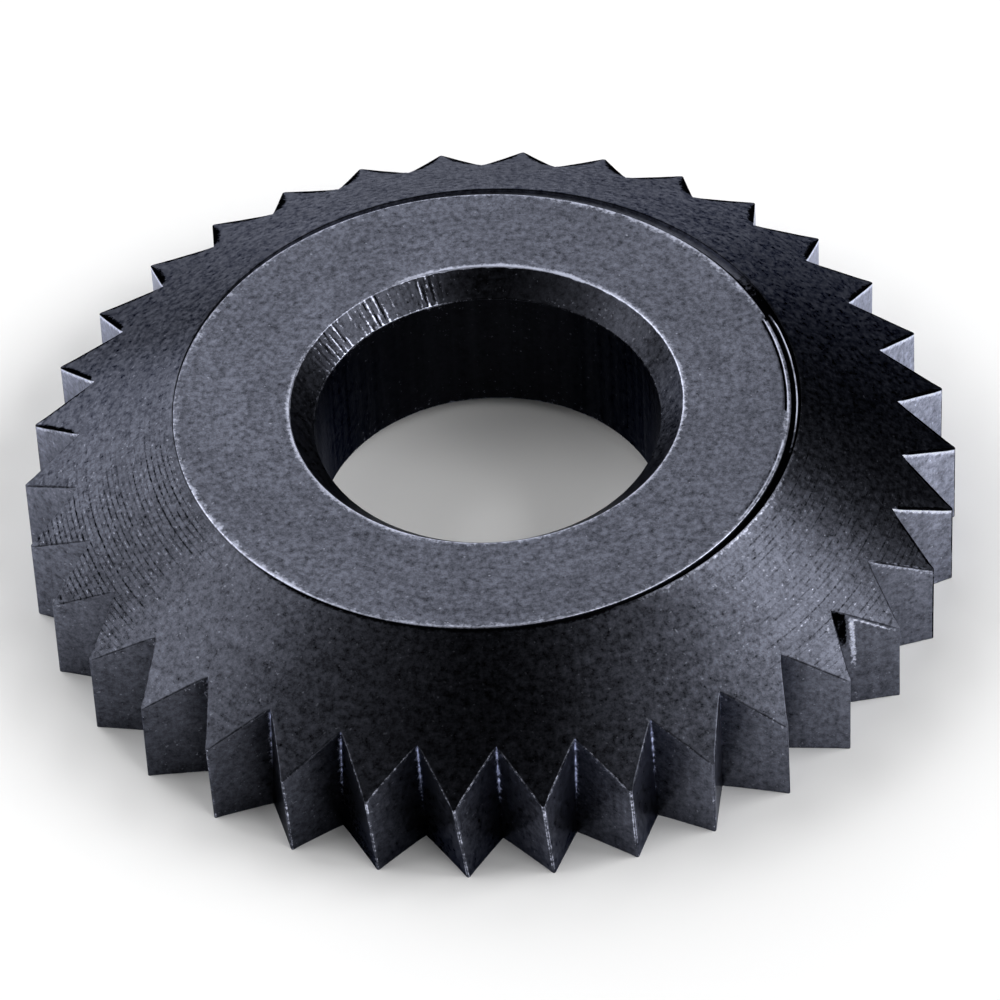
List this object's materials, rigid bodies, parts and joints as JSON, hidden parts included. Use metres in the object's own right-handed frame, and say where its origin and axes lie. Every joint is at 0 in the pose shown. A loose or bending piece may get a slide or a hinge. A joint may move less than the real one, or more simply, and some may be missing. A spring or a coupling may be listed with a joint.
{
  "type": "angle grinder carving disc",
  "caption": "Thick dark steel ring with a flat clamping face, a chamfered arbor bore and a conical toothed rim for carving on an angle grinder.",
  "frame": {"origin": "middle of the back face, on the bore's axis", "axes": "+Z along the arbor bore towards the conical front, +Y through the tip of one tooth"},
  "size_m": [0.0598, 0.06, 0.012],
  "materials": {
    "rim_steel": "blackened turned steel with fine concentric grooves and bright worn edges",
    "hub_steel": "blackened ground steel, blue-grey, speckled, with bright worn edges"
  },
  "bodies": {
    "root": {"toothed_rim": "rim_steel", "hub_ring": "hub_steel"}
  },
  "joints": []
}
